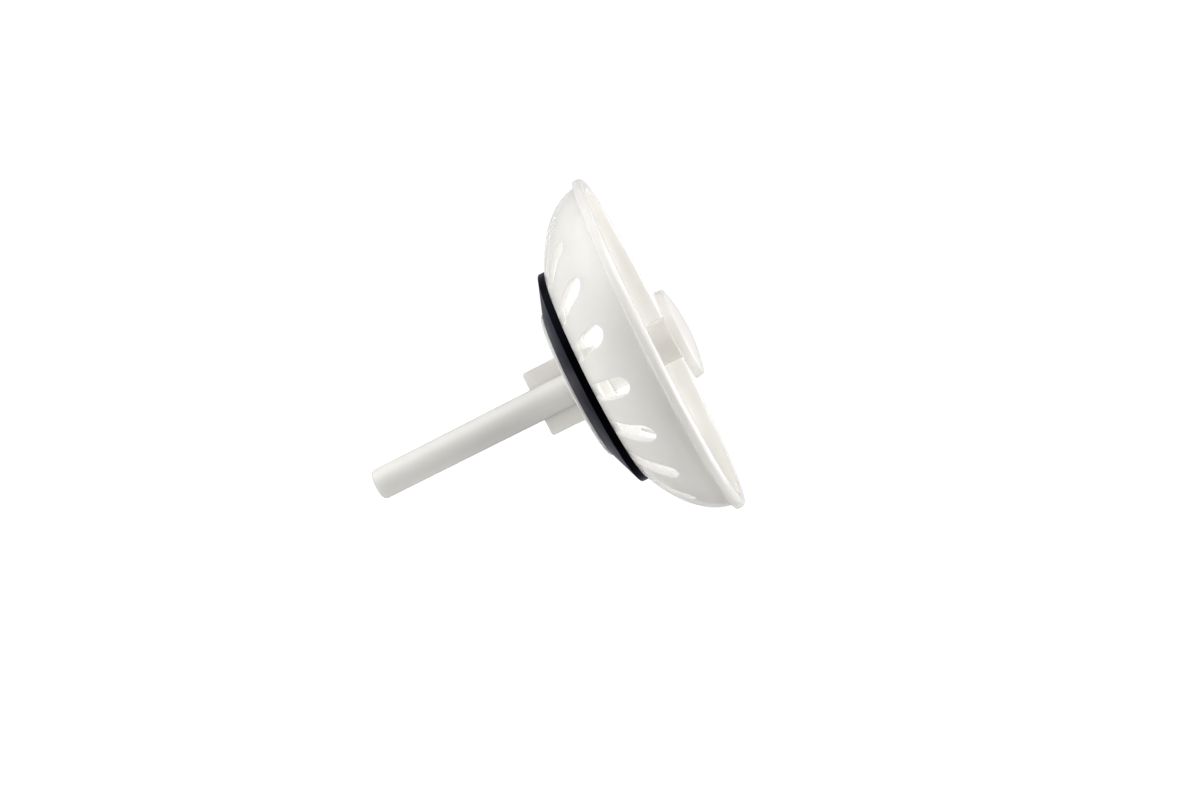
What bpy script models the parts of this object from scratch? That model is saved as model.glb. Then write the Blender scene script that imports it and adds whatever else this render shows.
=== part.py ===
"""Sink strainer basket with a turning spindle, for a kitchen sink's basket outlet.

A moulded bowl with tapered slots drops into the outlet. A rubber seal under its floor closes the
outlet, and a retainer disc, snapped on the bowl's boss, holds the seal. A spindle runs up through
the boss, with an O-ring that keeps it watertight, and snaps into the knob's hollow neck. Turning
the knob turns the two wings under the basket: laid across the bridge of the outlet they hold the
basket up to drain and strain, and in line with the bridge's slot they let it drop and seal.

Frame: +Z runs up the spindle to the knob. The origin is on the axis, in the plane of the seal's
lower outer edge, where the rubber lands in the outlet. The wings lie along X.
"""

import math

import bmesh
import bpy
from mathutils import Matrix, Vector

MM = 0.001

# Running and seating gap between neighbouring pieces
CLEARANCE = 0.3 * MM
# How far a cutter passes what it cuts, and how deep a joined shape is rooted in its piece
OVERRUN = 2.0 * MM
ROOT_DEPTH = 0.5 * MM
# Points closer than this are one point
WELD = 0.002 * MM

# Bowl: a flattened half ellipsoid that hangs from the plane of its rim
RIM_RADIUS = 42.0 * MM
RIM_OVERHANG = 1.3 * MM
RIM_ABOVE = 1.3 * MM
RIM_BELOW = 1.0 * MM
RIM_CORNER = 1.2 * MM
RIM_UNDER_CORNER = 0.4 * MM
RIM_INNER_CORNER = 0.6 * MM
RIM_STEP_HEIGHT = 0.35 * MM
RIM_STEP_WIDTH = 0.45 * MM
BOWL_HALF_DEPTH = 21.0 * MM
BOWL_WALL = 1.5 * MM
FLOOR_RADIUS = 20.2 * MM
FLOOR_BLEND = 4.0 * MM

# Slots: tapered, wide end up, all cut straight down as the mould's steel shuts off
SLOT_COUNT = 19
SLOT_PHASE_DEG = 12.4
SLOT_TOP_DEPTH = 7.4 * MM
SLOT_TOP_WIDTH = 4.4 * MM
SLOT_LOW_WIDTH = 4.0 * MM
SLOT_UNDER_SEAL = 0.5 * MM

# Boss through the floor: bearing for the spindle, with a barb that the retainer snaps over, and
# inside the bowl a collar whose lip stands round the foot of the knob's neck
BOSS_WALL = 2.0 * MM
BOSS_RECESS = 0.2 * MM
BARB_PROUD = 0.7 * MM
BARB_HEIGHT = 0.8 * MM
BARB_LEAD = 0.3 * MM
COLLAR_RISE = 2.0 * MM
COLLAR_LIP = 0.8 * MM
COLLAR_LIP_WALL = 1.1 * MM
COLLAR_FILLET = 1.0 * MM
COLLAR_ROUND = 0.3 * MM

# Seal
SEAL_RADIUS = 26.7 * MM
SEAL_LIP = 1.45 * MM
SEAL_EDGE_ROUND = 0.25 * MM
SEAL_PLATE = 1.65 * MM

# Retainer disc
RETAINER_RADIUS = 18.2 * MM
RETAINER_THICKNESS = 1.0 * MM
RETAINER_EDGE_SHOWS = 0.4 * MM
RETAINER_HUB_WALL = 1.8 * MM
RETAINER_EDGE_ROUND = 0.2 * MM

# Spindle
STEM_RADIUS = 3.94 * MM
STEM_TAPER = 0.15 * MM
STEM_TIP_ROUND = 1.1 * MM
STEM_LENGTH = 52.2 * MM
WING_REACH = 4.11 * MM
WING_LENGTH = 9.95 * MM
WING_THICKNESS = 2.0 * MM
WING_CORNER = 0.8 * MM
WING_EDGE_BEVEL = 0.15 * MM
SPIGOT_STEP = 0.64 * MM
SPIGOT_BELOW_HEAD = 2.4 * MM
SPIGOT_LEAD = 0.8 * MM
SNAP_DEPTH = 0.7 * MM
SNAP_WIDTH = 1.8 * MM
SNAP_FROM_END = 1.8 * MM
KEY_PROUD = 0.4 * MM
KEY_WIDTH = 1.8 * MM
KEY_HEIGHT = 5.0 * MM

# O-ring of a stock section
O_RING_SECTION = 1.5 * MM

# Knob
KNOB_RADIUS = 11.1 * MM
KNOB_ABOVE_RIM = 3.9 * MM
KNOB_EDGE_HEIGHT = 2.3 * MM
KNOB_EDGE_TAPER = 0.35 * MM
KNOB_DOME_RISE = 1.45 * MM
KNOB_LOWER_ROUND = 0.3 * MM
KNOB_UPPER_ROUND = 0.9 * MM
NECK_RADIUS = 5.2 * MM
NECK_FILLET = 0.8 * MM
NECK_FOOT_ROUND = 0.3 * MM

# Facets round the axis, steps along the curves, and the turn of each step in a round corner
BOWL_STEPS = 68
SEAL_STEPS = 48
RETAINER_STEPS = 36
KNOB_STEPS = 36
SPINDLE_STEPS = 24
OUTER_SHELL_STEPS = 9
INNER_SHELL_STEPS = 7
SEAL_LIP_STEPS = 3
DOME_STEPS = 5
O_RING_SIDES = 10
ARC_STEP_DEG = 30.0
SHARP_EDGE_DEG = 35.0

BOWL_HALF_WIDTH = RIM_RADIUS - RIM_OVERHANG
# Stands a slab's outline upright, its thickness along Y
UPRIGHT = Matrix.Rotation(math.radians(90.0), 4, "X")


def bowl_depth(radius, grow=0.0):
    """Depth below the rim plane of the bowl's outer surface, grown by a gap or shrunk by a wall."""
    share = radius / (BOWL_HALF_WIDTH + grow)
    return (BOWL_HALF_DEPTH + grow) * math.sqrt(1.0 - share * share)


def bowl_radius(depth, grow=0.0):
    """Radius of the same surface at a depth below the rim plane."""
    share = depth / (BOWL_HALF_DEPTH + grow)
    return (BOWL_HALF_WIDTH + grow) * math.sqrt(1.0 - share * share)


# Heights above the seat plane, each worked out from the piece that it sits on
FLOOR_DEPTH = bowl_depth(FLOOR_RADIUS)
RIM_PLANE = bowl_depth(SEAL_RADIUS, CLEARANCE) + SEAL_LIP
RIM_UNDER = RIM_PLANE - RIM_BELOW
FLOOR_UNDER = RIM_PLANE - FLOOR_DEPTH
FLOOR_TOP = FLOOR_UNDER + BOWL_WALL
COLLAR_TOP = FLOOR_TOP + COLLAR_RISE
SEAL_TOP = FLOOR_UNDER - CLEARANCE
SEAL_UNDER = SEAL_TOP - SEAL_PLATE
RETAINER_TOP = SEAL_UNDER - CLEARANCE
RETAINER_UNDER = RETAINER_TOP - RETAINER_THICKNESS
BOSS_END = RETAINER_UNDER + BOSS_RECESS
BARB_TOP = BOSS_END + BARB_HEIGHT
THRUST_FACE = RETAINER_UNDER - CLEARANCE
WING_END = THRUST_FACE - WING_LENGTH
STEM_TIP = THRUST_FACE - STEM_LENGTH
O_RING_PLANE = (BOSS_END + COLLAR_TOP) / 2
NECK_FOOT = COLLAR_TOP + CLEARANCE
KEY_TOP = COLLAR_TOP + KEY_HEIGHT
KNOB_UNDER = RIM_PLANE + KNOB_ABOVE_RIM
KNOB_EDGE_TOP = KNOB_UNDER + KNOB_EDGE_HEIGHT
SPIGOT_TOP = KNOB_UNDER - SPIGOT_BELOW_HEAD
SNAP_TOP = SPIGOT_TOP - SNAP_FROM_END
SNAP_LOW = SNAP_TOP - SNAP_WIDTH

# Radii that fit their neighbours
BORE_RADIUS = STEM_RADIUS + CLEARANCE
BOSS_RADIUS = BORE_RADIUS + BOSS_WALL
BARB_RADIUS = BOSS_RADIUS + BARB_PROUD
LIP_BORE = NECK_RADIUS + CLEARANCE
COLLAR_RADIUS = LIP_BORE + COLLAR_LIP_WALL
O_RING_GROOVE_RADIUS = BORE_RADIUS - O_RING_SECTION - 2 * CLEARANCE
RETAINER_BORE = BOSS_RADIUS + CLEARANCE
RETAINER_POCKET = BARB_RADIUS + CLEARANCE
RETAINER_HUB = RETAINER_POCKET + RETAINER_HUB_WALL
SEAL_BORE = RETAINER_HUB + CLEARANCE
SPIGOT_RADIUS = STEM_RADIUS - SPIGOT_STEP
SNAP_RADIUS = SPIGOT_RADIUS - SNAP_DEPTH
KEY_REACH = SPIGOT_RADIUS + KEY_PROUD
NECK_BORE = SPIGOT_RADIUS + CLEARANCE


def plastic(name, colour, roughness):
    """Principled material of a moulded piece; colour is linear red, green and blue."""
    material = bpy.data.materials.new(name)
    material.use_nodes = True
    shader = material.node_tree.nodes["Principled BSDF"]
    shader.inputs["Base Color"].default_value = (*colour, 1.0)
    shader.inputs["Roughness"].default_value = roughness
    shader.inputs["Metallic"].default_value = 0.0
    return material


def rounded(corners):
    """Points of a closed run of (radius, height, rounding) corners, with arcs at the round ones."""
    points = []
    for index, (r, z, rounding) in enumerate(corners):
        corner = Vector((r, z))
        before = Vector(corners[index - 1][:2]) - corner
        after = Vector(corners[(index + 1) % len(corners)][:2]) - corner
        if rounding == 0.0:
            points.append((r, z))
            continue
        half_angle = before.angle(after) / 2
        reach = min(rounding / math.tan(half_angle), before.length / 2, after.length / 2)
        arc_radius = reach * math.tan(half_angle)
        towards_centre = (before.normalized() + after.normalized()).normalized()
        centre = corner + towards_centre * (arc_radius / math.sin(half_angle))
        spoke = corner + before.normalized() * reach - centre
        turn = math.pi - 2 * half_angle
        if before.x * after.y < before.y * after.x:
            turn = -turn
        steps = math.ceil(math.degrees(abs(turn)) / ARC_STEP_DEG)
        for step in range(steps + 1):
            points.append(tuple(centre + Matrix.Rotation(-turn * step / steps, 2) @ spoke))
    return points


def shell_run(r_from, r_to, grow, count):
    """Points along the bowl's surface between two radii, evenly spaced round its ellipse."""
    width, depth = BOWL_HALF_WIDTH + grow, BOWL_HALF_DEPTH + grow
    start, end = math.acos(r_from / width), math.acos(r_to / width)
    run = []
    for step in range(count + 1):
        angle = start + (end - start) * step / count
        run.append((width * math.cos(angle), RIM_PLANE - depth * math.sin(angle), 0.0))
    return run


def add_shape(name, shape, material):
    """Turns a finished shape into an object, shaded smooth with its sharp edges kept."""
    bmesh.ops.recalc_face_normals(shape, faces=shape.faces)
    mesh = bpy.data.meshes.new(name)
    shape.to_mesh(mesh)
    shape.free()
    mesh.shade_smooth()
    mesh.set_sharp_from_angle(angle=math.radians(SHARP_EDGE_DEG))
    if material is not None:
        mesh.materials.append(material)
    item = bpy.data.objects.new(name, mesh)
    bpy.context.collection.objects.link(item)
    return item


def turned(name, corners, steps, material):
    """Spins a closed profile once round Z. A profile that meets the axis is open along it."""
    shape = bmesh.new()
    verts = [shape.verts.new((r, 0.0, z)) for r, z in rounded(corners)]
    edges = []
    for first, second in zip(verts, verts[1:] + verts[:1]):
        if max(first.co.x, second.co.x) > WELD:
            edges.append(shape.edges.new((first, second)))
    bmesh.ops.spin(shape, geom=verts + edges, cent=(0, 0, 0), axis=(0, 0, 1), angle=2 * math.pi,
                   steps=steps, use_merge=True)
    on_axis = [vert for vert in shape.verts if vert.co.xy.length < WELD]
    bmesh.ops.remove_doubles(shape, verts=on_axis, dist=WELD)
    return add_shape(name, shape, material)


def slab(shape, outline, low, high, placing):
    """Adds a closed prism to a shape: an outline in X and Y, from low to high in Z, then placed."""
    lower = [shape.verts.new(placing @ Vector((a, b, low))) for a, b in outline]
    upper = [shape.verts.new(placing @ Vector((a, b, high))) for a, b in outline]
    shape.faces.new(lower)
    shape.faces.new(upper)
    for index in range(len(outline)):
        following = (index + 1) % len(outline)
        shape.faces.new((lower[index], lower[following], upper[following], upper[index]))


def cut_or_join(target, tool, operation):
    """Boolean modifier with the exact solver; the tool stays as a hidden wire shape."""
    modifier = target.modifiers.new(operation.lower(), "BOOLEAN")
    modifier.operation = operation
    modifier.solver = "EXACT"
    modifier.object = tool
    tool.hide_render = True
    tool.display_type = "WIRE"


def slot_outline():
    """One slot seen from above, pointing along +X: the shape round a large and a small circle."""
    top_round, low_round = SLOT_TOP_WIDTH / 2, SLOT_LOW_WIDTH / 2
    top_centre = bowl_radius(SLOT_TOP_DEPTH) - top_round
    low_centre = SEAL_RADIUS - SLOT_UNDER_SEAL + low_round
    lean = math.asin((top_round - low_round) / (top_centre - low_centre))
    half_turn = math.pi + 2 * lean
    ends = (
        (top_centre, top_round, -half_turn / 2, half_turn),
        (low_centre, low_round, half_turn / 2, 2 * math.pi - half_turn),
    )
    outline = []
    for centre, radius, start, sweep in ends:
        steps = math.ceil(math.degrees(sweep) / ARC_STEP_DEG)
        for step in range(steps + 1):
            angle = start + sweep * step / steps
            outline.append((centre + radius * math.cos(angle), radius * math.sin(angle)))
    return outline


def slot_cutter():
    """All the slots as upright prisms, evenly spaced round the axis."""
    outline = slot_outline()
    shape = bmesh.new()
    for index in range(SLOT_COUNT):
        turn = Matrix.Rotation(math.radians(SLOT_PHASE_DEG) + 2 * math.pi * index / SLOT_COUNT, 4, "Z")
        slab(shape, outline, FLOOR_UNDER - OVERRUN, RIM_UNDER, turn)
    return add_shape("slot_cutter", shape, None)


def make_basket_bowl(white):
    """Bowl, rim and boss in one moulding: a turned profile with the slots cut through."""
    inner_radius = BOWL_HALF_WIDTH - BOWL_WALL
    step_low = RIM_UNDER - RIM_STEP_HEIGHT
    shell_top = bowl_radius(RIM_PLANE - step_low)
    inner_floor_radius = bowl_radius(FLOOR_DEPTH - BOWL_WALL, -BOWL_WALL)
    outside = shell_run(shell_top, FLOOR_RADIUS, 0.0, OUTER_SHELL_STEPS)
    inside = shell_run(inner_floor_radius, inner_radius, -BOWL_WALL, INNER_SHELL_STEPS)
    corners = [
        (inner_radius, RIM_PLANE + RIM_ABOVE, RIM_INNER_CORNER),
        (RIM_RADIUS, RIM_PLANE + RIM_ABOVE, RIM_CORNER),
        (RIM_RADIUS, RIM_UNDER, RIM_UNDER_CORNER),
        (shell_top + RIM_STEP_WIDTH, RIM_UNDER, 0.0),
        (shell_top + RIM_STEP_WIDTH, step_low, 0.0),
        *outside[:-1],
        (FLOOR_RADIUS, FLOOR_UNDER, FLOOR_BLEND),
        (BOSS_RADIUS, FLOOR_UNDER, 0.0),
        (BOSS_RADIUS, BARB_TOP, 0.0),
        (BARB_RADIUS, BARB_TOP, 0.0),
        (BARB_RADIUS, BOSS_END + BARB_LEAD, 0.0),
        (BARB_RADIUS - BARB_LEAD, BOSS_END, 0.0),
        (BORE_RADIUS, BOSS_END, 0.0),
        (BORE_RADIUS, COLLAR_TOP, 0.0),
        (LIP_BORE, COLLAR_TOP, 0.0),
        (LIP_BORE, COLLAR_TOP + COLLAR_LIP, 0.0),
        (COLLAR_RADIUS, COLLAR_TOP + COLLAR_LIP, COLLAR_ROUND),
        (COLLAR_RADIUS, FLOOR_TOP, COLLAR_FILLET),
        (inner_floor_radius, FLOOR_TOP, FLOOR_BLEND),
        *inside[1:],
    ]
    bowl = turned("basket_bowl", corners, BOWL_STEPS, white)
    cut_or_join(bowl, slot_cutter(), "DIFFERENCE")
    return bowl


def make_rubber_seal(rubber):
    """Dished ring: its lip follows the bowl, and its flat part lies between floor and retainer."""
    flat_radius = bowl_radius(FLOOR_DEPTH + CLEARANCE, CLEARANCE)
    recess = RETAINER_RADIUS + CLEARANCE
    corners = [
        (SEAL_RADIUS, SEAL_LIP, SEAL_EDGE_ROUND),
        (SEAL_RADIUS, 0.0, SEAL_EDGE_ROUND),
        (recess, RETAINER_UNDER + RETAINER_EDGE_SHOWS, 0.0),
        (recess, SEAL_UNDER, 0.0),
        (SEAL_BORE, SEAL_UNDER, 0.0),
        (SEAL_BORE, SEAL_TOP, 0.0),
        *shell_run(flat_radius, SEAL_RADIUS, CLEARANCE, SEAL_LIP_STEPS)[:-1],
    ]
    return turned("rubber_seal", corners, SEAL_STEPS, rubber)


def make_seal_retainer(white):
    """Flanged disc whose hub stops against the floor and snaps over the boss's barb."""
    pocket_top = BARB_TOP + CLEARANCE
    corners = [
        (RETAINER_HUB, SEAL_TOP, RETAINER_EDGE_ROUND),
        (RETAINER_HUB, RETAINER_TOP, 0.0),
        (RETAINER_RADIUS, RETAINER_TOP, RETAINER_EDGE_ROUND),
        (RETAINER_RADIUS, RETAINER_UNDER, RETAINER_EDGE_ROUND),
        (RETAINER_POCKET, RETAINER_UNDER, 0.0),
        (RETAINER_POCKET, pocket_top, 0.0),
        (RETAINER_BORE, pocket_top, 0.0),
        (RETAINER_BORE, SEAL_TOP, 0.0),
    ]
    return turned("seal_retainer", corners, RETAINER_STEPS, white)


def wing_plate():
    """Both wings as one plate across the stem, with round lower corners and eased edges."""
    half_span = STEM_RADIUS + WING_REACH
    half_thickness = WING_THICKNESS / 2
    outline = rounded([
        (-half_span, THRUST_FACE, 0.0),
        (-half_span, WING_END, WING_CORNER),
        (half_span, WING_END, WING_CORNER),
        (half_span, THRUST_FACE, 0.0),
    ])
    shape = bmesh.new()
    slab(shape, outline, -half_thickness, half_thickness, UPRIGHT)
    eased = [edge for edge in shape.edges if abs(edge.verts[0].co.y - edge.verts[1].co.y) < WELD]
    bmesh.ops.bevel(shape, geom=eased, offset=WING_EDGE_BEVEL, segments=1, affect="EDGES")
    return add_shape("wing_plate", shape, None)


def key_bar(name, reach, width, low, high):
    """Bar across the axis: the spigot's two keys, or the two keyways that take them."""
    outline = [(-reach, low), (reach, low), (reach, high), (-reach, high)]
    shape = bmesh.new()
    slab(shape, outline, -width / 2, width / 2, UPRIGHT)
    return add_shape(name, shape, None)


def make_spindle(white):
    """Stem, journal and snap spigot in one turned shape, joined to the wings and the keys."""
    groove_low = O_RING_PLANE - O_RING_SECTION / 2 - CLEARANCE
    groove_top = O_RING_PLANE + O_RING_SECTION / 2 + CLEARANCE
    corners = [
        (0.0, SPIGOT_TOP, 0.0),
        (SPIGOT_RADIUS - SPIGOT_LEAD, SPIGOT_TOP, 0.0),
        (SPIGOT_RADIUS, SPIGOT_TOP - SPIGOT_LEAD, 0.0),
        (SPIGOT_RADIUS, SNAP_TOP, 0.0),
        (SNAP_RADIUS, SNAP_TOP, 0.0),
        (SNAP_RADIUS, SNAP_LOW, 0.0),
        (SPIGOT_RADIUS, SNAP_LOW, 0.0),
        (SPIGOT_RADIUS, COLLAR_TOP, 0.0),
        (STEM_RADIUS, COLLAR_TOP, 0.0),
        (STEM_RADIUS, groove_top, 0.0),
        (O_RING_GROOVE_RADIUS, groove_top, 0.0),
        (O_RING_GROOVE_RADIUS, groove_low, 0.0),
        (STEM_RADIUS, groove_low, 0.0),
        (STEM_RADIUS, BOSS_END, 0.0),
        (STEM_RADIUS - STEM_TAPER, STEM_TIP, STEM_TIP_ROUND),
        (0.0, STEM_TIP, 0.0),
    ]
    spindle = turned("spindle", corners, SPINDLE_STEPS, white)
    cut_or_join(spindle, wing_plate(), "UNION")
    keys = key_bar("spigot_keys", KEY_REACH, KEY_WIDTH, COLLAR_TOP - ROOT_DEPTH, KEY_TOP)
    cut_or_join(spindle, keys, "UNION")
    return spindle


def make_spindle_o_ring(rubber):
    """O-ring in the journal's groove, drawn with its free round section."""
    section_radius = O_RING_SECTION / 2
    middle = BORE_RADIUS - CLEARANCE - section_radius
    corners = []
    for side in range(O_RING_SIDES):
        angle = -2 * math.pi * side / O_RING_SIDES
        r = middle + section_radius * math.cos(angle)
        z = O_RING_PLANE + section_radius * math.sin(angle)
        corners.append((r, z, 0.0))
    return turned("spindle_o_ring", corners, SPINDLE_STEPS, rubber)


def dome_run(edge_radius, edge_height, rise, count):
    """Points of a shallow spherical dome, from its crown on the axis out to its edge."""
    sphere = (edge_radius ** 2 + rise ** 2) / (2 * rise)
    run = []
    for step in range(count + 1):
        r = edge_radius * step / count
        run.append((r, edge_height + rise - sphere + math.sqrt(sphere ** 2 - r ** 2), 0.0))
    return run


def make_knob(white):
    """Mushroom knob on a hollow neck, with a snap ridge and keyways in its blind bore."""
    top_radius = KNOB_RADIUS - KNOB_EDGE_TAPER
    ridge_radius = SNAP_RADIUS + CLEARANCE
    bore_end = SPIGOT_TOP + CLEARANCE
    corners = [
        *dome_run(top_radius, KNOB_EDGE_TOP, KNOB_DOME_RISE, DOME_STEPS)[:-1],
        (top_radius, KNOB_EDGE_TOP, KNOB_UPPER_ROUND),
        (KNOB_RADIUS, KNOB_UNDER, KNOB_LOWER_ROUND),
        (NECK_RADIUS, KNOB_UNDER, NECK_FILLET),
        (NECK_RADIUS, NECK_FOOT, NECK_FOOT_ROUND),
        (NECK_BORE, NECK_FOOT, 0.0),
        (NECK_BORE, SNAP_LOW + CLEARANCE, 0.0),
        (ridge_radius, SNAP_LOW + CLEARANCE, 0.0),
        (ridge_radius, SNAP_TOP - CLEARANCE, 0.0),
        (NECK_BORE, SNAP_TOP - CLEARANCE, 0.0),
        (NECK_BORE, bore_end, 0.0),
        (0.0, bore_end, 0.0),
    ]
    knob = turned("knob", corners, KNOB_STEPS, white)
    keyways = key_bar("knob_keyways", KEY_REACH + CLEARANCE, KEY_WIDTH + 2 * CLEARANCE,
                      NECK_FOOT - OVERRUN, KEY_TOP + CLEARANCE)
    cut_or_join(knob, keyways, "DIFFERENCE")
    return knob


def build():
    """Makes every piece; what turns hangs on an empty on the spindle's axis."""
    for item in list(bpy.data.objects):
        bpy.data.objects.remove(item, do_unlink=True)
    white = plastic("moulded_white_plastic", (0.86, 0.86, 0.84), 0.22)
    rubber = plastic("black_epdm_rubber", (0.012, 0.013, 0.015), 0.55)
    make_basket_bowl(white)
    make_rubber_seal(rubber)
    make_seal_retainer(white)
    turning_axis = bpy.data.objects.new("turning_axis", None)
    bpy.context.collection.objects.link(turning_axis)
    for piece in (make_spindle(white), make_spindle_o_ring(rubber), make_knob(white)):
        piece.parent = turning_axis


build()
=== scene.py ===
"""Dresses the sink strainer basket: fine moulded surfaces, materials, studio light and camera.

All pieces but the wings are turned round the spindle's axis, +Z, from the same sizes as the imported
solids. The bowl's slots are laid out seen from above, because the mould cuts them straight down.
"""

import math

import bmesh
import bpy
from mathutils import Matrix, Vector


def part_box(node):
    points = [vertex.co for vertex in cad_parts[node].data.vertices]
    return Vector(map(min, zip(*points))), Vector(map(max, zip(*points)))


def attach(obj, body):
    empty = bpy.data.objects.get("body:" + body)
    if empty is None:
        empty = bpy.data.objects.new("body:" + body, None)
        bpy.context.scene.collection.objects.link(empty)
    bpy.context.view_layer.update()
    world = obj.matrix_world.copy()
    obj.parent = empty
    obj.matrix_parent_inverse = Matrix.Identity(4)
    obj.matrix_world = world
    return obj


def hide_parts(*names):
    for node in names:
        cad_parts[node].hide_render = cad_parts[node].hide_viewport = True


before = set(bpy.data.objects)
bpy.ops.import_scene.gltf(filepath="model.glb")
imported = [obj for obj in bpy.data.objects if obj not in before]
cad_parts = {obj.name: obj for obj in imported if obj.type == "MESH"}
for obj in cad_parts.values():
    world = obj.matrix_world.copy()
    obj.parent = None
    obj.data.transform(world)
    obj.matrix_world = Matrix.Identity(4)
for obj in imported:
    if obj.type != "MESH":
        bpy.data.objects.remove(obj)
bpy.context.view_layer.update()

MM = 0.001

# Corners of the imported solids
bowl_low, bowl_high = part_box("basket_bowl")
_, seal_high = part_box("rubber_seal")
retainer_low, retainer_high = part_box("seal_retainer")
spindle_low, spindle_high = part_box("spindle")
ring_low, ring_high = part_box("spindle_o_ring")
knob_low, knob_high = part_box("knob")

# Sizes that several pieces share
CLEARANCE = 0.3 * MM
STEM_RADIUS = 3.94 * MM

# Bowl
RIM_RADIUS = bowl_high.x
RIM_OVERHANG = 1.3 * MM
RIM_ABOVE = 1.3 * MM
RIM_BELOW = 1.0 * MM
RIM_CORNER = 1.2 * MM
RIM_UNDER_CORNER = 0.4 * MM
RIM_INNER_CORNER = 0.6 * MM
RIM_STEP_HEIGHT = 0.35 * MM
RIM_STEP_WIDTH = 0.45 * MM
RIM_STEP_ROUND = 0.12 * MM
RIM_PLANE = bowl_high.z - RIM_ABOVE
RIM_UNDER = RIM_PLANE - RIM_BELOW
BOWL_HALF_WIDTH = RIM_RADIUS - RIM_OVERHANG
BOWL_HALF_DEPTH = 21.0 * MM
BOWL_WALL = 1.5 * MM
FLOOR_RADIUS = 20.2 * MM
FLOOR_BLEND = 4.0 * MM

# Slots
SLOT_COUNT = 19
SLOT_PHASE_DEG = 12.4
SLOT_TOP_DEPTH = 7.4 * MM
SLOT_TOP_WIDTH = 4.4 * MM
SLOT_LOW_WIDTH = 4.0 * MM
SLOT_UNDER_SEAL = 0.5 * MM
SLOT_EDGE_ROUND = 0.28 * MM
CELL_BEYOND_SLOT = 0.8 * MM

# Boss and collar
BOSS_WALL = 2.0 * MM
BARB_PROUD = 0.7 * MM
BARB_HEIGHT = 0.8 * MM
BARB_LEAD = 0.3 * MM
BOSS_BORE = STEM_RADIUS + CLEARANCE
BOSS_OUTER = BOSS_BORE + BOSS_WALL
BARB_OUTER = BOSS_OUTER + BARB_PROUD
BOSS_END = bowl_low.z
BARB_TOP = BOSS_END + BARB_HEIGHT
COLLAR_RISE = 2.0 * MM
COLLAR_LIP = 0.8 * MM
COLLAR_LIP_WALL = 1.1 * MM
COLLAR_FILLET = 1.0 * MM
COLLAR_ROUND = 0.3 * MM

# Seal and retainer; the origin lies at the height where the seal meets the outlet's seat
SEAT_HEIGHT = 0.0
SEAL_RADIUS = seal_high.x
SEAL_SNUG = 0.02 * MM
SEAL_EDGE_ROUND = 0.2 * MM
SEAL_PLATE = 1.65 * MM
RETAINER_RADIUS = retainer_high.x
RETAINER_UNDER = retainer_low.z
RETAINER_THICKNESS = 1.0 * MM
RETAINER_EDGE_SHOWS = 0.75 * MM
RETAINER_EDGE_ROUND = 0.2 * MM
RETAINER_LOWER_ROUND = 0.7 * MM
RETAINER_HUB_WALL = 1.8 * MM
RETAINER_POCKET = BARB_OUTER + CLEARANCE
RETAINER_HUB = RETAINER_POCKET + RETAINER_HUB_WALL

# Spindle
STEM_TAPER = 0.15 * MM
STEM_TIP = spindle_low.z
STEM_TIP_ROUND = 1.1 * MM
THRUST_FACE = RETAINER_UNDER - CLEARANCE
WING_HALF_SPAN = spindle_high.x
WING_LENGTH = 9.95 * MM
WING_THICKNESS = 2.0 * MM
WING_CORNER = 0.8 * MM
WING_EDGE_ROUND = 0.2 * MM
SPIGOT_TOP = spindle_high.z
SPIGOT_STEP = 0.64 * MM
SPIGOT_RADIUS = STEM_RADIUS - SPIGOT_STEP
SPIGOT_LEAD = 0.8 * MM
SNAP_DEPTH = 0.7 * MM
SNAP_WIDTH = 1.8 * MM
SNAP_FROM_END = 1.8 * MM
SNAP_RADIUS = SPIGOT_RADIUS - SNAP_DEPTH
SNAP_TOP = SPIGOT_TOP - SNAP_FROM_END
SNAP_LOW = SNAP_TOP - SNAP_WIDTH
O_RING_SECTION = ring_high.z - ring_low.z

# Knob
KNOB_RADIUS = knob_high.x
KNOB_TOP = knob_high.z
KNOB_EDGE_HEIGHT = 2.3 * MM
KNOB_EDGE_TAPER = 0.35 * MM
KNOB_DOME_RISE = 1.45 * MM
KNOB_LOWER_ROUND = 0.3 * MM
KNOB_UPPER_ROUND = 0.9 * MM
NECK_RADIUS = 5.2 * MM
NECK_FILLET = 0.8 * MM
NECK_FOOT_ROUND = 0.3 * MM
NECK_FOOT = knob_low.z

# Fineness of the meshes
WELD = 0.002 * MM
CAP_STEPS = 12
SIDE_STEPS = 10
TURN_STEPS = SLOT_COUNT * CAP_STEPS
SPINDLE_TURN_STEPS = TURN_STEPS // 2
ARC_STEP_DEG = 12.0
ARC_STEPS_LEAST = 2
CURVE_STEP = 0.6 * MM
SHARP_EDGE_DEG = 40.0
WING_EDGE_STEPS = 3
ROUND_PROFILE = 0.5
# Where the loops round a slot lie: across its rounded edge, then out to its cell's border
SLOT_EDGE_SHARES = (0.0, 0.08, 0.3, 0.62, 1.0)
SLOT_SPREAD_SHARES = (0.18, 0.42, 0.7, 1.0)

# Finishes: the sizes of their patterns, how far light reaches into the plastic, and the lowest
# and highest roughness
SHRINK_WAVE = 7.0 * MM
SHRINK_DEPTH = 0.2 * MM
HAZE_PATCH = 1.6 * MM
LIGHT_REACH = 2.2 * MM
PLASTIC_ROUGHNESS = (0.1, 0.15)
# The grain that the mould leaves, about 0.1 mm, is too fine to show, so it is drawn this coarse
RUBBER_GRAIN = 0.35 * MM
RUBBER_GRAIN_DEPTH = 0.02 * MM
BLOOM_PATCH = 6.0 * MM
RUBBER_ROUGHNESS = (0.28, 0.36)
# The middle of Blender's noise, which is spread over the whole range of roughness
NOISE_RANGE = (0.3, 0.7)

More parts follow.
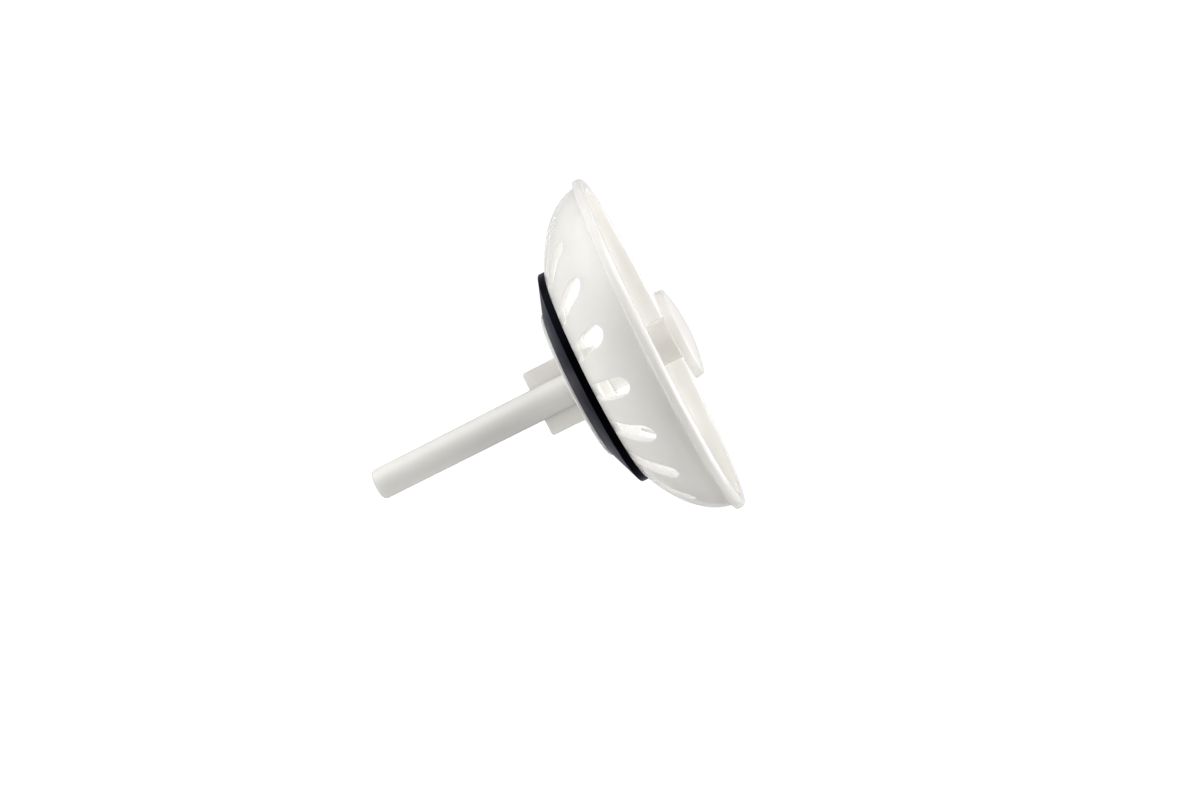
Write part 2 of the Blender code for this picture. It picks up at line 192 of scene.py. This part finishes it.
# Camera: fitted to the rim, seal, wings and stem of the photographed basket
LENS_MM = 56.0
SENSOR_MM = 36.0
CAMERA_ROLL_DEG = 63.296
CAMERA_ELEVATION_DEG = 5.91
CAMERA_DISTANCE = 429.6 * MM
CAMERA_CLIP = 10.0 * MM
RIM_RIGHT_OF_CENTRE = 13.68 * MM
RIM_ABOVE_CENTRE = 13.02 * MM

# Studio: a dim room, and a lit white backdrop and floor just wide enough for the photograph
ROOM_LEVEL = 0.15
BACKDROP_LEVEL = 1.06
BACKDROP_DISTANCE = 2500.0 * MM
BACKDROP_FULL_RADIUS = 1220.0 * MM
BACKDROP_FADE_RADIUS = 1630.0 * MM
BACKDROP_SIDES = 64
FLOOR_DROP = 250.0 * MM
FLOOR_REACH = 6000.0 * MM
FLOOR_LIT_FROM = 40.0 * MM
FLOOR_LIT_TO = 210.0 * MM
FLOOR_LIT_SLOPE = 1.2
# What the plastic mirrors at its outlines: the wall behind, dimmer than the backdrop
WALL_LEVEL = 0.58
WALL_FULL_DEG = 20.0
WALL_FADE_DEG = 34.0
# Distance and side length of the softboxes, and of the small panels close to the basket
SOFTBOX = (1200.0 * MM, 700.0 * MM)
PANEL = (320.0 * MM, 320.0 * MM)
# Each soft light: degrees to the right of the camera and above it, as the camera sees them, then
# its distance and side length, then its watts
SOFT_LIGHTS = {
    "bowl_mouth_softbox": (72.0, 0.0, *SOFTBOX, 7.8),
    "far_mouth_softbox": (108.0, 0.0, *SOFTBOX, 4.9),
    "overhead_softbox": (60.0, 60.0, *SOFTBOX, 5.2),
    "front_overhead_softbox": (0.0, 60.0, *SOFTBOX, 2.3),
    "low_softbox": (80.0, -38.0, *SOFTBOX, 2.1),
    "bowl_side_panel": (-75.0, 45.0, *PANEL, 0.28),
    "stem_side_panel": (-60.0, 30.0, *PANEL, 0.18),
}


# Shapes


def bowl_height(radius, grow=0.0):
    """Height of the bowl's outer surface, grown by a gap or shrunk by the wall."""
    share = radius / (BOWL_HALF_WIDTH + grow)
    return RIM_PLANE - (BOWL_HALF_DEPTH + grow) * math.sqrt(1.0 - share * share)


def bowl_radius(height, grow=0.0):
    """Radius of the same surface at a height."""
    share = (RIM_PLANE - height) / (BOWL_HALF_DEPTH + grow)
    return (BOWL_HALF_WIDTH + grow) * math.sqrt(1.0 - share * share)


def shell_run(r_from, r_to, grow):
    """Corners along the bowl's surface between two radii, evenly spaced round its ellipse."""
    width = BOWL_HALF_WIDTH + grow
    start, end = math.acos(r_from / width), math.acos(r_to / width)
    count = math.ceil(abs(end - start) * width / CURVE_STEP)
    run = []
    for step in range(count + 1):
        angle = start + (end - start) * step / count
        z = RIM_PLANE - (BOWL_HALF_DEPTH + grow) * math.sin(angle)
        run.append((width * math.cos(angle), z, 0.0))
    return run


def dome_run(edge_radius, edge_height, rise):
    """Corners along a shallow spherical dome, from its crown on the axis out to its edge."""
    sphere = (edge_radius ** 2 + rise ** 2) / (2 * rise)
    count = math.ceil(edge_radius / CURVE_STEP)
    run = []
    for step in range(count + 1):
        r = edge_radius * step / count
        run.append((r, edge_height + rise - sphere + math.sqrt(sphere ** 2 - r ** 2), 0.0))
    return run


def rounded(corners, closed):
    """Points of a run of (radius, height, rounding) corners, with fine arcs at the round ones."""
    points = []
    for index, (r, z, rounding) in enumerate(corners):
        at_end = not closed and index in (0, len(corners) - 1)
        if rounding == 0.0 or at_end:
            points.append((r, z))
            continue
        corner = Vector((r, z))
        before = Vector(corners[index - 1][:2]) - corner
        after = Vector(corners[(index + 1) % len(corners)][:2]) - corner
        half_angle = before.angle(after) / 2
        reach = min(rounding / math.tan(half_angle), before.length / 2, after.length / 2)
        arc_radius = reach * math.tan(half_angle)
        towards_centre = (before.normalized() + after.normalized()).normalized()
        centre = corner + towards_centre * (arc_radius / math.sin(half_angle))
        spoke = corner + before.normalized() * reach - centre
        turn = math.pi - 2 * half_angle
        if before.x * after.y < before.y * after.x:
            turn = -turn
        steps = max(ARC_STEPS_LEAST, math.ceil(math.degrees(abs(turn)) / ARC_STEP_DEG))
        for step in range(steps + 1):
            points.append(tuple(centre + Matrix.Rotation(-turn * step / steps, 2) @ spoke))
    return points


def sweep_round(shape, corners, closed, steps=TURN_STEPS):
    """Adds to a shape the surface that a run of corners sweeps round Z."""
    start = math.radians(SLOT_PHASE_DEG) - math.pi / SLOT_COUNT
    rings = []
    for r, z in rounded(corners, closed):
        ring = []
        for step in range(steps):
            angle = start + 2 * math.pi * step / steps
            ring.append(shape.verts.new((r * math.cos(angle), r * math.sin(angle), z)))
        rings.append(ring)
    if closed:
        rings.append(rings[0])
    for upper, lower in zip(rings, rings[1:]):
        if upper[0].co.xy.length <= WELD and lower[0].co.xy.length <= WELD:
            continue
        for step in range(steps):
            after = (step + 1) % steps
            shape.faces.new((upper[step], upper[after], lower[after], lower[step]))


def add_object(name, shape, material):
    """An object made from a shape, in one material."""
    mesh = bpy.data.meshes.new(name)
    shape.to_mesh(mesh)
    shape.free()
    mesh.materials.append(material)
    made = bpy.data.objects.new(name, mesh)
    bpy.context.collection.objects.link(made)
    return made


def finish_piece(name, shape, body, material, nodes=()):
    """Welds and shades a shape, makes it an object on its body's empty, and hides the CAD nodes it
    stands for.
    """
    bmesh.ops.remove_doubles(shape, verts=shape.verts, dist=WELD)
    bmesh.ops.recalc_face_normals(shape, faces=shape.faces)
    piece = add_object(name, shape, material)
    piece.data.shade_smooth()
    piece.data.set_sharp_from_angle(angle=math.radians(SHARP_EDGE_DEG))
    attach(piece, body)
    if nodes:
        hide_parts(*nodes)


def slot_loop(offset):
    """One slot's outline from above as (radius, angle) pairs, grown by an offset."""
    top_round, low_round = SLOT_TOP_WIDTH / 2, SLOT_LOW_WIDTH / 2
    top_centre = bowl_radius(RIM_PLANE - SLOT_TOP_DEPTH) - top_round
    low_centre = SEAL_RADIUS - SLOT_UNDER_SEAL + low_round
    side = math.pi / 2 + math.asin((top_round - low_round) / (top_centre - low_centre))

    def point(share, angle):
        """A point on the circle this share of the way down the slot, which is tapered."""
        centre = top_centre + (low_centre - top_centre) * share
        radius = top_round + (low_round - top_round) * share + offset
        return centre + radius * math.cos(angle), radius * math.sin(angle)

    caps, sides = range(CAP_STEPS), range(SIDE_STEPS)
    points = [point(0.0, side * (2 * step / CAP_STEPS - 1)) for step in caps]
    points += [point(step / SIDE_STEPS, side) for step in sides]
    points += [point(1.0, side + 2 * (math.pi - side) * step / CAP_STEPS) for step in caps]
    points += [point(1.0 - step / SIDE_STEPS, -side) for step in sides]
    return [(math.hypot(x, y), math.atan2(y, x)) for x, y in points]


def cell_loop(inner, outer):
    """The border of one slot's share of the bowl, as (radius, angle) pairs that match slot_loop."""
    half = math.pi / SLOT_COUNT
    caps, sides = range(CAP_STEPS), range(SIDE_STEPS)
    points = [(outer, half * (2 * step / CAP_STEPS - 1)) for step in caps]
    points += [(outer + (inner - outer) * step / SIDE_STEPS, half) for step in sides]
    points += [(inner, half * (1 - 2 * step / CAP_STEPS)) for step in caps]
    points += [(inner + (outer - inner) * step / SIDE_STEPS, -half) for step in sides]
    return points


def slotted_band(shape, inner, outer):
    """Adds the band of the bowl that the slots cut: both surfaces, the slots' walls and edges."""
    border = cell_loop(inner, outer)
    loops = []
    for share in SLOT_EDGE_SHARES:
        drop = SLOT_EDGE_ROUND * (1 - math.sqrt(1 - (1 - share) ** 2))
        loops.append((slot_loop(SLOT_EDGE_ROUND * share), drop))
    last = loops[-1][0]
    for share in SLOT_SPREAD_SHARES:
        spread = []
        for (r, angle), (border_r, border_angle) in zip(last, border):
            spread.append((r + (border_r - r) * share, angle + (border_angle - angle) * share))
        loops.append((spread, 0.0))
    rows = [(points, -BOWL_WALL, -drop) for points, drop in reversed(loops)]
    rows += [(points, 0.0, drop) for points, drop in loops]
    for index in range(SLOT_COUNT):
        middle = math.radians(SLOT_PHASE_DEG) + 2 * math.pi * index / SLOT_COUNT
        rings = []
        for points, grow, shift in rows:
            ring = []
            for r, angle in points:
                x, y = r * math.cos(middle + angle), r * math.sin(middle + angle)
                ring.append(shape.verts.new((x, y, bowl_height(r, grow) + shift)))
            rings.append(ring)
        for upper, lower in zip(rings, rings[1:]):
            for step in range(len(upper)):
                before = step - 1
                shape.faces.new((upper[before], upper[step], lower[step], lower[before]))


# Pieces


def make_bowl(material):
    """The bowl in fine facets, with rounded slot edges and the rim's bead and step."""
    inner_radius = BOWL_HALF_WIDTH - BOWL_WALL
    step_low = RIM_UNDER - RIM_STEP_HEIGHT
    shell_top = bowl_radius(step_low)
    floor_under = bowl_height(FLOOR_RADIUS)
    floor_top = floor_under + BOWL_WALL
    inner_floor_radius = bowl_radius(floor_top, -BOWL_WALL)
    lip_bore = NECK_RADIUS + CLEARANCE
    collar = lip_bore + COLLAR_LIP_WALL
    collar_top = floor_top + COLLAR_RISE
    lip_top = collar_top + COLLAR_LIP
    slot_low = SEAL_RADIUS - SLOT_UNDER_SEAL - CELL_BEYOND_SLOT
    slot_top = bowl_radius(RIM_PLANE - SLOT_TOP_DEPTH) + CELL_BEYOND_SLOT
    rim = [
        *shell_run(slot_top, inner_radius, -BOWL_WALL),
        (inner_radius, RIM_PLANE + RIM_ABOVE, RIM_INNER_CORNER),
        (RIM_RADIUS, RIM_PLANE + RIM_ABOVE, RIM_CORNER),
        (RIM_RADIUS, RIM_UNDER, RIM_UNDER_CORNER),
        (shell_top + RIM_STEP_WIDTH, RIM_UNDER, RIM_STEP_ROUND),
        (shell_top + RIM_STEP_WIDTH, step_low, RIM_STEP_ROUND),
        *shell_run(shell_top, slot_top, 0.0),
    ]
    floor = [
        *shell_run(slot_low, FLOOR_RADIUS, 0.0)[:-1],
        (FLOOR_RADIUS, floor_under, FLOOR_BLEND),
        (BOSS_OUTER, floor_under, 0.0),
        (BOSS_OUTER, BARB_TOP, 0.0),
        (BARB_OUTER, BARB_TOP, 0.0),
        (BARB_OUTER, BOSS_END + BARB_LEAD, 0.0),
        (BARB_OUTER - BARB_LEAD, BOSS_END, 0.0),
        (BOSS_BORE, BOSS_END, 0.0),
        (BOSS_BORE, collar_top, 0.0),
        (lip_bore, collar_top, 0.0),
        (lip_bore, lip_top, COLLAR_ROUND),
        (collar, lip_top, COLLAR_ROUND),
        (collar, floor_top, COLLAR_FILLET),
        (inner_floor_radius, floor_top, FLOOR_BLEND),
        *shell_run(inner_floor_radius, slot_low, -BOWL_WALL)[1:],
    ]
    shape = bmesh.new()
    sweep_round(shape, rim, closed=False)
    slotted_band(shape, slot_low, slot_top)
    sweep_round(shape, floor, closed=False)
    finish_piece("strainer_bowl", shape, "basket", material, ["basket_bowl"])


def make_seal(material):
    """The rubber seal, with its lip snug against the bowl, as stretched rubber lies."""
    seal_top = bowl_height(FLOOR_RADIUS) - CLEARANCE
    seal_under = seal_top - SEAL_PLATE
    recess = RETAINER_RADIUS + CLEARANCE
    bore = RETAINER_HUB + CLEARANCE
    flat_radius = bowl_radius(seal_top, SEAL_SNUG)
    corners = [
        (SEAL_RADIUS, bowl_height(SEAL_RADIUS, SEAL_SNUG), SEAL_EDGE_ROUND),
        (SEAL_RADIUS, SEAT_HEIGHT, SEAL_EDGE_ROUND),
        (recess, RETAINER_UNDER + RETAINER_EDGE_SHOWS, SEAL_EDGE_ROUND),
        (recess, seal_under, 0.0),
        (bore, seal_under, 0.0),
        (bore, seal_top, 0.0),
        *shell_run(flat_radius, SEAL_RADIUS, SEAL_SNUG)[:-1],
    ]
    shape = bmesh.new()
    sweep_round(shape, corners, closed=True)
    finish_piece("seal_ring", shape, "basket", material, ["rubber_seal"])


def make_retainer(material):
    """The retainer disc with its hub and snap pocket."""
    top = RETAINER_UNDER + RETAINER_THICKNESS
    hub_top = retainer_high.z
    pocket_top = BARB_TOP + CLEARANCE
    bore = BOSS_OUTER + CLEARANCE
    corners = [
        (RETAINER_HUB, hub_top, RETAINER_EDGE_ROUND),
        (RETAINER_HUB, top, 0.0),
        (RETAINER_RADIUS, top, RETAINER_EDGE_ROUND),
        (RETAINER_RADIUS, RETAINER_UNDER, RETAINER_LOWER_ROUND),
        (RETAINER_POCKET, RETAINER_UNDER, RETAINER_EDGE_ROUND),
        (RETAINER_POCKET, pocket_top, 0.0),
        (bore, pocket_top, 0.0),
        (bore, hub_top, 0.0),
    ]
    shape = bmesh.new()
    sweep_round(shape, corners, closed=True)
    finish_piece("retainer_disc", shape, "basket", material, ["seal_retainer"])


def make_spindle(material):
    """Stem, journal and spigot in one turned shape."""
    shoulder = NECK_FOOT - CLEARANCE
    groove_low, groove_top = ring_low.z - CLEARANCE, ring_high.z + CLEARANCE
    groove = STEM_RADIUS - O_RING_SECTION - CLEARANCE
    corners = [
        (0.0, SPIGOT_TOP, 0.0),
        (SPIGOT_RADIUS - SPIGOT_LEAD, SPIGOT_TOP, 0.0),
        (SPIGOT_RADIUS, SPIGOT_TOP - SPIGOT_LEAD, 0.0),
        (SPIGOT_RADIUS, SNAP_TOP, 0.0),
        (SNAP_RADIUS, SNAP_TOP, 0.0),
        (SNAP_RADIUS, SNAP_LOW, 0.0),
        (SPIGOT_RADIUS, SNAP_LOW, 0.0),
        (SPIGOT_RADIUS, shoulder, 0.0),
        (STEM_RADIUS, shoulder, 0.0),
        (STEM_RADIUS, groove_top, 0.0),
        (groove, groove_top, 0.0),
        (groove, groove_low, 0.0),
        (STEM_RADIUS, groove_low, 0.0),
        (STEM_RADIUS, THRUST_FACE, 0.0),
        (STEM_RADIUS - STEM_TAPER, STEM_TIP, STEM_TIP_ROUND),
        (0.0, STEM_TIP, 0.0),
    ]
    shape = bmesh.new()
    sweep_round(shape, corners, closed=False, steps=SPINDLE_TURN_STEPS)
    finish_piece("winged_spindle", shape, "spindle", material, ["spindle"])


def make_wings(material):
    """Both wings as one plate that runs through the stem, with rounded corners and edges."""
    half = WING_THICKNESS / 2
    outline = rounded([
        (-WING_HALF_SPAN, THRUST_FACE, 0.0),
        (-WING_HALF_SPAN, THRUST_FACE - WING_LENGTH, WING_CORNER),
        (WING_HALF_SPAN, THRUST_FACE - WING_LENGTH, WING_CORNER),
        (WING_HALF_SPAN, THRUST_FACE, 0.0),
    ], closed=True)
    shape = bmesh.new()
    front = [shape.verts.new((x, -half, z)) for x, z in outline]
    back = [shape.verts.new((x, half, z)) for x, z in outline]
    shape.faces.new(front)
    shape.faces.new(back)
    for index in range(len(outline)):
        shape.faces.new((front[index - 1], front[index], back[index], back[index - 1]))
    eased = [edge for edge in shape.edges
             if abs(edge.verts[0].co.y - edge.verts[1].co.y) < WELD]
    bmesh.ops.bevel(shape, geom=eased, offset=WING_EDGE_ROUND, segments=WING_EDGE_STEPS,
                    affect="EDGES", profile=ROUND_PROFILE)
    finish_piece("spindle_wings", shape, "spindle", material)


def make_knob(material):
    """The knob's head, and its neck with the bore that snaps over the spigot."""
    edge_top = KNOB_TOP - KNOB_DOME_RISE
    under = edge_top - KNOB_EDGE_HEIGHT
    top_radius = KNOB_RADIUS - KNOB_EDGE_TAPER
    bore = SPIGOT_RADIUS + CLEARANCE
    ridge = SNAP_RADIUS + CLEARANCE
    bore_end = SPIGOT_TOP + CLEARANCE
    corners = [
        *dome_run(top_radius, edge_top, KNOB_DOME_RISE)[:-1],
        (top_radius, edge_top, KNOB_UPPER_ROUND),
        (KNOB_RADIUS, under, KNOB_LOWER_ROUND),
        (NECK_RADIUS, under, NECK_FILLET),
        (NECK_RADIUS, NECK_FOOT, NECK_FOOT_ROUND),
        (bore, NECK_FOOT, 0.0),
        (bore, SNAP_LOW + CLEARANCE, 0.0),
        (ridge, SNAP_LOW + CLEARANCE, 0.0),
        (ridge, SNAP_TOP - CLEARANCE, 0.0),
        (bore, SNAP_TOP - CLEARANCE, 0.0),
        (bore, bore_end, 0.0),
        (0.0, bore_end, 0.0),
    ]
    shape = bmesh.new()
    sweep_round(shape, corners, closed=False)
    finish_piece("turning_knob", shape, "spindle", material, ["knob"])


def make_o_ring(material):
    """The O-ring in the journal's groove."""
    section = O_RING_SECTION / 2
    middle_r, middle_z = ring_high.x - section, (ring_low.z + ring_high.z) / 2
    sides = math.ceil(360.0 / ARC_STEP_DEG)
    corners = []
    for side in range(sides):
        angle = 2 * math.pi * side / sides
        z = middle_z + section * math.sin(angle)
        corners.append((middle_r + section * math.cos(angle), z, 0.0))
    shape = bmesh.new()
    sweep_round(shape, corners, closed=True)
    finish_piece("journal_o_ring", shape, "spindle", material,
                 ["spindle_o_ring"])


# Materials


def linear(hex_colour):
    """Linear red, green, blue and alpha of an sRGB hex colour."""
    channels = []
    for start in (1, 3, 5):
        value = int(hex_colour[start:start + 2], 16) / 255
        channels.append(value / 12.92 if value <= 0.04045 else ((value + 0.055) / 1.055) ** 2.4)
    return (*channels, 1.0)


def add_node(tree, kind, inputs=None, **settings):
    """Adds a node with its settings. Each input is set to a value, or linked to a socket."""
    node = tree.nodes.new(kind)
    for name, value in settings.items():
        setattr(node, name, value)
    for key, value in (inputs or {}).items():
        if isinstance(value, bpy.types.NodeSocket):
            tree.links.new(value, node.inputs[key])
        else:
            node.inputs[key].default_value = value
    return node


def blank_material(name):
    """A material with an empty node tree, and that tree."""
    material = bpy.data.materials.new(name)
    material.use_nodes = True
    material.node_tree.nodes.clear()
    return material, material.node_tree


def moulded_polypropylene():
    """White polypropylene, injection moulded in a polished tool.

    The eye reads a soft gloss with patches of faint haze, light that goes a little way into the
    plastic, and a slight unevenness of the skin where it shrank off the tool.
    """
    material, tree = blank_material("moulded_white_polypropylene")
    place = add_node(tree, "ShaderNodeTexCoord").outputs["Object"]
    skin = add_node(tree, "ShaderNodeTexNoise", {
        "Vector": place, "Scale": 1 / SHRINK_WAVE, "Detail": 2.0})
    haze = add_node(tree, "ShaderNodeTexNoise", {
        "Vector": place, "Scale": 1 / HAZE_PATCH, "Detail": 4.0})
    gloss = add_node(tree, "ShaderNodeMapRange", {
        "Value": haze.outputs["Fac"], "From Min": NOISE_RANGE[0], "From Max": NOISE_RANGE[1],
        "To Min": PLASTIC_ROUGHNESS[0], "To Max": PLASTIC_ROUGHNESS[1]})
    relief = add_node(tree, "ShaderNodeBump", {
        "Height": skin.outputs["Fac"], "Strength": 0.06, "Distance": SHRINK_DEPTH})
    tint = add_node(tree, "ShaderNodeMix", {
        "Factor": skin.outputs["Fac"], "A": linear("#F0EEEA"), "B": linear("#F5F3EF"),
    }, data_type="RGBA")
    shader = add_node(tree, "ShaderNodeBsdfPrincipled", {
        "Base Color": tint.outputs["Result"], "Roughness": gloss.outputs["Result"],
        "Normal": relief.outputs["Normal"], "IOR": 1.49, "Metallic": 0.0,
        "Subsurface Weight": 0.65, "Subsurface Radius": (1.0, 0.97, 0.9),
        "Subsurface Scale": LIGHT_REACH})
    add_node(tree, "ShaderNodeOutputMaterial", {"Surface": shader.outputs["BSDF"]})
    return material


def moulded_epdm():
    """Black EPDM rubber, compression moulded.

    The eye reads near black, with a fine grain and a faint bluish bloom that shows where the
    rubber is seen at a low angle.
    """
    material, tree = blank_material("moulded_black_epdm")
    place = add_node(tree, "ShaderNodeTexCoord").outputs["Object"]
    grain = add_node(tree, "ShaderNodeTexNoise", {
        "Vector": place, "Scale": 1 / RUBBER_GRAIN, "Detail": 3.0})
    bloom = add_node(tree, "ShaderNodeTexNoise", {
        "Vector": place, "Scale": 1 / BLOOM_PATCH, "Detail": 3.0})
    gloss = add_node(tree, "ShaderNodeMapRange", {
        "Value": bloom.outputs["Fac"], "From Min": NOISE_RANGE[0], "From Max": NOISE_RANGE[1],
        "To Min": RUBBER_ROUGHNESS[0], "To Max": RUBBER_ROUGHNESS[1]})
    relief = add_node(tree, "ShaderNodeBump", {
        "Height": grain.outputs["Fac"], "Strength": 0.15, "Distance": RUBBER_GRAIN_DEPTH})
    tint = add_node(tree, "ShaderNodeMix", {
        "Factor": bloom.outputs["Fac"], "A": linear("#010103"), "B": linear("#020205"),
    }, data_type="RGBA")
    shader = add_node(tree, "ShaderNodeBsdfPrincipled", {
        "Base Color": tint.outputs["Result"], "Roughness": gloss.outputs["Result"],
        "Normal": relief.outputs["Normal"], "IOR": 1.52, "Metallic": 0.0,
        "Specular IOR Level": 0.05, "Specular Tint": linear("#C8D4FF"),
        "Sheen Weight": 0.08, "Sheen Roughness": 0.35, "Sheen Tint": linear("#8C9CFF")})
    add_node(tree, "ShaderNodeOutputMaterial", {"Surface": shader.outputs["BSDF"]})
    return material


def backlit_acrylic():
    """Pale matt acrylic sheet for the floor, lit from below.

    The eye reads an even white without gloss. It glows in a wedge that starts below the bowl's
    far side and widens away from the camera, which is the part of the floor that the
    photograph's frame takes in.
    """
    material, tree = blank_material("backlit_white_acrylic")
    place = add_node(tree, "ShaderNodeTexCoord").outputs["Object"]
    spot = add_node(tree, "ShaderNodeSeparateXYZ", {"Vector": place})
    aside = add_node(tree, "ShaderNodeMath", {0: spot.outputs["X"]}, operation="ABSOLUTE")
    inside = add_node(tree, "ShaderNodeMath", {
        0: aside.outputs["Value"], 1: -FLOOR_LIT_SLOPE, 2: spot.outputs["Y"],
    }, operation="MULTIPLY_ADD")
    glow = add_node(tree, "ShaderNodeMapRange", {
        "Value": inside.outputs["Value"], "From Min": FLOOR_LIT_FROM, "From Max": FLOOR_LIT_TO,
        "To Max": BACKDROP_LEVEL}, interpolation_type="SMOOTHSTEP")
    shader = add_node(tree, "ShaderNodeBsdfPrincipled", {
        "Base Color": linear("#EDEDED"), "Roughness": 0.9, "Specular IOR Level": 0.1,
        "Emission Color": linear("#FFFFFF"), "Emission Strength": glow.outputs["Result"]})
    add_node(tree, "ShaderNodeOutputMaterial", {"Surface": shader.outputs["BSDF"]})
    return material


def lit_cloth():
    """White cloth for the backdrop, too far off for its weave to show.

    The eye reads plain white, evenly lit in the middle and fading to the room's level.
    """
    material, tree = blank_material("lit_white_cloth")
    place = add_node(tree, "ShaderNodeTexCoord").outputs["Object"]
    off_centre = add_node(tree, "ShaderNodeVectorMath", {0: place}, operation="LENGTH")
    glow = add_node(tree, "ShaderNodeMapRange", {
        "Value": off_centre.outputs["Value"], "From Min": BACKDROP_FADE_RADIUS,
        "From Max": BACKDROP_FULL_RADIUS, "To Min": ROOM_LEVEL, "To Max": BACKDROP_LEVEL,
    }, interpolation_type="SMOOTHSTEP")
    shader = add_node(tree, "ShaderNodeEmission", {"Strength": glow.outputs["Result"]})
    add_node(tree, "ShaderNodeOutputMaterial", {"Surface": shader.outputs["Emission"]})
    return material


# Studio


def view_direction():
    """The way the photograph looks: along +Y and a little down."""
    elevation = math.radians(CAMERA_ELEVATION_DEG)
    return Vector((0.0, math.cos(elevation), -math.sin(elevation)))


def add_camera():
    """The camera at the photograph's viewing angle, rolled as the photograph is."""
    back = -view_direction()
    level = Vector((1.0, 0.0, 0.0))
    right = Matrix.Rotation(math.radians(CAMERA_ROLL_DEG), 3, back) @ level
    up = back.cross(right)
    camera_data = bpy.data.cameras.new("photograph_view")
    camera_data.sensor_width = SENSOR_MM
    camera_data.lens = LENS_MM
    camera_data.clip_start = CAMERA_CLIP
    camera = bpy.data.objects.new("photograph_view", camera_data)
    rim_centre = Vector((0.0, 0.0, RIM_PLANE))
    aim = rim_centre - right * RIM_RIGHT_OF_CENTRE - up * RIM_ABOVE_CENTRE
    turn = Matrix((right, up, back)).transposed().to_4x4()
    camera.matrix_world = Matrix.Translation(aim + back * CAMERA_DISTANCE) @ turn
    bpy.context.collection.objects.link(camera)
    bpy.context.scene.camera = camera
    return camera


def add_floor():
    """A wide pale floor, well below the stem's tip, which no surface mirrors."""
    shape = bmesh.new()
    bmesh.ops.create_grid(shape, x_segments=1, y_segments=1, size=FLOOR_REACH)
    floor = add_object("studio_floor", shape, backlit_acrylic())
    floor.location.z = STEM_TIP - FLOOR_DROP
    floor.visible_glossy = False


def add_backdrop(camera):
    """A white disc far behind the basket, which no surface mirrors, so that outlines stay clear."""
    shape = bmesh.new()
    bmesh.ops.create_circle(shape, cap_ends=True, segments=BACKDROP_SIDES,
                            radius=BACKDROP_FADE_RADIUS)
    backdrop = add_object("white_backdrop", shape, lit_cloth())
    turn = camera.matrix_world.to_3x3().to_4x4()
    backdrop.matrix_world = Matrix.Translation(view_direction() * BACKDROP_DISTANCE) @ turn
    backdrop.visible_glossy = False


def add_room():
    """A dim white room, lighter on the wall behind the basket."""
    world = bpy.data.worlds.new("white_room")
    world.use_nodes = True
    tree = world.node_tree
    tree.nodes.clear()
    ray = add_node(tree, "ShaderNodeTexCoord").outputs["Generated"]
    behind = add_node(tree, "ShaderNodeVectorMath", {0: ray, 1: view_direction()},
                      operation="DOT_PRODUCT")
    level = add_node(tree, "ShaderNodeMapRange", {
        "Value": behind.outputs["Value"],
        "From Min": math.cos(math.radians(WALL_FADE_DEG)),
        "From Max": math.cos(math.radians(WALL_FULL_DEG)),
        "To Min": ROOM_LEVEL, "To Max": WALL_LEVEL}, interpolation_type="SMOOTHSTEP")
    room = add_node(tree, "ShaderNodeBackground", {
        "Color": linear("#FFFFFF"), "Strength": level.outputs["Result"]})
    add_node(tree, "ShaderNodeOutputWorld", {"Surface": room.outputs["Background"]})
    bpy.context.scene.world = world
    bpy.context.scene.view_settings.view_transform = "Standard"


def add_soft_light(camera, name, azimuth_deg, elevation_deg, distance, size, power):
    """A square soft light, placed by angles as the camera sees it and aimed at the basket."""
    data = bpy.data.lights.new(name, "AREA")
    data.shape = "SQUARE"
    data.size = size
    data.energy = power
    light = bpy.data.objects.new(name, data)
    azimuth, elevation = math.radians(azimuth_deg), math.radians(elevation_deg)
    faces = Vector((math.cos(elevation) * math.sin(azimuth), math.sin(elevation),
                    math.cos(elevation) * math.cos(azimuth)))
    across = Vector((0.0, 1.0, 0.0)).cross(faces).normalized()
    aimed = Matrix((across, faces.cross(across), faces)).transposed()
    turn = camera.matrix_world.to_3x3() @ aimed
    spot = turn @ Vector((0.0, 0.0, distance))
    light.matrix_world = Matrix.Translation(spot) @ turn.to_4x4()
    light.visible_camera = False
    bpy.context.collection.objects.link(light)


polypropylene = moulded_polypropylene()
seal_rubber = moulded_epdm()
make_bowl(polypropylene)
make_seal(seal_rubber)
make_retainer(polypropylene)
make_spindle(polypropylene)
make_wings(polypropylene)
make_knob(polypropylene)
make_o_ring(seal_rubber)

add_floor()
photograph_camera = add_camera()
add_backdrop(photograph_camera)
add_room()
for light_name, place_and_power in SOFT_LIGHTS.items():
    add_soft_light(photograph_camera, light_name, *place_and_power)
